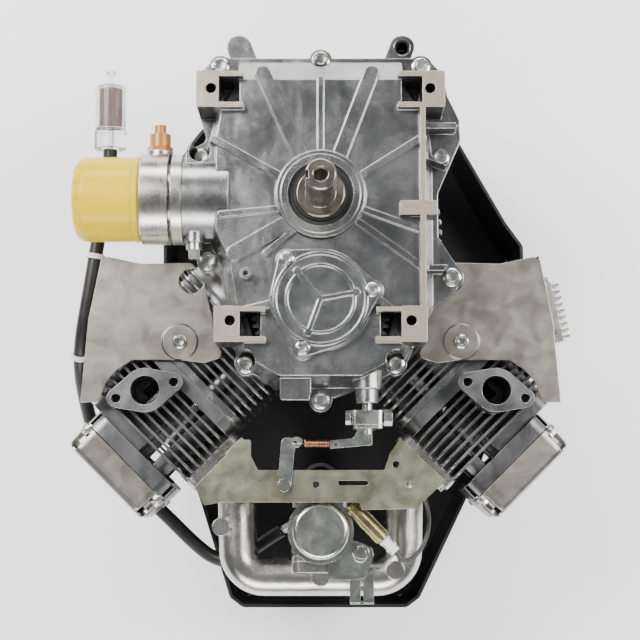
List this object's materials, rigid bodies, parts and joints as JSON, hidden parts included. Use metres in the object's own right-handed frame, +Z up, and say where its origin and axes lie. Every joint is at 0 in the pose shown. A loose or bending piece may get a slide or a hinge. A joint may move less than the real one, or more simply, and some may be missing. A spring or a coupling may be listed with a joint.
{
  "type": "small gasoline engine",
  "caption": "Air-cooled V-twin gasoline engine with a vertical output shaft, finned cylinders, oil filter, carburettor and blower housing.",
  "frame": {"origin": "crankshaft axis in the plane of the mounting feet", "axes": "+Z up as installed, away from the output shaft; -Y towards the open side of the V and the carburettor; +X towards the oil filter"},
  "size_m": [0.4512, 0.507, 0.4263],
  "materials": {
    "cast_aluminium": "die-cast, satin",
    "machined_aluminium": "machined",
    "gasket": "pressed fibre",
    "black_rubber": "moulded rubber",
    "zinc_steel": "zinc plated",
    "yellow_paint": "gloss paint",
    "amber_plastic": "moulded",
    "nickel_steel": "pressed sheet, nickel plated",
    "yellow_zinc": "yellow zinc plated",
    "white_plastic": "moulded",
    "grey_insulation": "extruded",
    "clear_plastic": "clear moulded",
    "filter_paper": "pleated",
    "air_filter_paper": "pleated",
    "black_plastic": "moulded, fine texture",
    "black_paint": "satin paint",
    "steel": "ground"
  },
  "bodies": {
    "engine_block": {"sump": "cast_aluminium", "crankcase": "cast_aluminium", "gaskets": "gasket", "lower_oil_seal": "black_rubber", "pump_cover": "cast_aluminium", "small_screws": "zinc_steel", "flange_bolts": "zinc_steel", "filter_adapter": "machined_aluminium", "oil_filter": "yellow_paint", "oil_pressure_switch": "amber_plastic", "pipe_plugs": "zinc_steel", "cylinder_head_left": "cast_aluminium", "cylinder_head_right": "cast_aluminium", "valve_cover_left": "nickel_steel", "valve_cover_right": "nickel_steel", "cylinder_shield_left": "nickel_steel", "cylinder_shield_right": "nickel_steel", "spark_plugs": "zinc_steel", "plug_leads": "black_rubber", "intake_manifold": "cast_aluminium", "carburetor": "cast_aluminium", "float_bowl": "zinc_steel", "fuel_solenoid": "yellow_zinc", "solenoid_lead": "grey_insulation", "control_bracket": "zinc_steel", "fuel_hose": "black_rubber", "hose_ties": "white_plastic", "fuel_filter": "clear_plastic", "fuel_filter_element": "filter_paper", "blower_housing": "black_plastic", "ignition_coils": "black_paint", "starter_motor": "black_paint", "voltage_regulator": "machined_aluminium", "air_cleaner_cover": "black_plastic", "air_filter_element": "air_filter_paper", "oil_fill_tube": "black_paint", "valves": "steel", "valve_springs": "steel", "rocker_arms": "cast_aluminium", "pushrods": "steel", "governor_spring": "yellow_zinc"},
    "crank": {"crankshaft": "steel", "crank_gear": "steel", "flywheel": "machined_aluminium", "flywheel_nut": "zinc_steel", "rotating_screen": "black_plastic"},
    "cam": {"camshaft": "steel", "oil_pump_rotor": "steel"},
    "governor_rotor": {"governor_gear": "steel"},
    "piston_assembly_left": {"piston_left": "cast_aluminium"},
    "piston_assembly_right": {"piston_right": "cast_aluminium"},
    "rod_left": {"connecting_rod_left": "cast_aluminium"},
    "rod_right": {"connecting_rod_right": "cast_aluminium"},
    "governor_arm": {"governor_lever": "zinc_steel"},
    "speed_control": {"control_lever": "zinc_steel"},
    "throttle": {"throttle_shaft": "zinc_steel"},
    "choke": {"choke_shaft": "zinc_steel"},
    "dipstick": {"dipstick": "black_plastic"},
    "cleaner_knob": {"air_cleaner_knob": "black_plastic"}
  },
  "joints": [
    {"name": "crank_spin", "type": "hinge", "parent": "engine_block", "child": "crank", "pos_m": [0, 0, 0], "axis": [0, 0, 1], "continuous": true},
    {"name": "cam_spin", "type": "hinge", "parent": "engine_block", "child": "cam", "pos_m": [0, -0.0889, 0], "axis": [0, 0, 1], "continuous": true, "deforming": ["pushrods"]},
    {"name": "governor_spin", "type": "hinge", "parent": "engine_block", "child": "governor_rotor", "pos_m": [-0.05987, -0.02903, 0], "axis": [0, 0, 1], "continuous": true},
    {"name": "piston_slide_left", "type": "slide", "parent": "engine_block", "child": "piston_assembly_left", "axis": [0.7071, -0.7071, 0], "range_m": [-0.05971, 0.01359]},
    {"name": "rod_swing_left", "type": "hinge", "parent": "piston_assembly_left", "child": "rod_left", "pos_m": [0.09975, -0.09975, 0.124], "axis": [0, 0, 1], "range_deg": [-3, 3], "deforming": ["connecting_rod_left"]},
    {"name": "piston_slide_right", "type": "slide", "parent": "engine_block", "child": "piston_assembly_right", "axis": [-0.7071, -0.7071, 0], "range_m": [-0.05971, 0.01359]},
    {"name": "rod_swing_right", "type": "hinge", "parent": "piston_assembly_right", "child": "rod_right", "pos_m": [-0.09975, -0.09975, 0.146], "axis": [0, 0, 1], "range_deg": [-3, 3], "deforming": ["connecting_rod_right"]},
    {"name": "governor_swing", "type": "hinge", "parent": "engine_block", "child": "governor_arm", "pos_m": [-0.039, -0.15, 0.03], "axis": [0, 1, 0], "range_deg": [-6, 6], "deforming": ["governor_spring"]},
    {"name": "control_swing", "type": "hinge", "parent": "engine_block", "child": "speed_control", "pos_m": [0.031, -0.2418, 0.068], "axis": [0, 0, 1], "range_deg": [-4, 12]},
    {"name": "throttle_turn", "type": "hinge", "parent": "engine_block", "child": "throttle", "pos_m": [0, -0.294, 0.134], "axis": [0, 0, 1], "range_deg": [-15, 60]},
    {"name": "choke_turn", "type": "hinge", "parent": "engine_block", "child": "choke", "pos_m": [0, -0.267, 0.134], "axis": [0, 0, 1], "range_deg": [-10, 70]},
    {"name": "dipstick_pull", "type": "slide", "parent": "engine_block", "child": "dipstick", "axis": [0, 0, 1], "range_m": [0, 0.16]},
    {"name": "knob_turn", "type": "hinge", "parent": "engine_block", "child": "cleaner_knob", "pos_m": [0.034, -0.245, 0.33], "axis": [0, 0, 1], "continuous": true}
  ],
  "couplings": [
    {"joint": "cam_spin", "follows": "crank_spin", "ratio": -0.5},
    {"joint": "governor_spin", "follows": "crank_spin", "ratio": 1.1667}
  ]
}
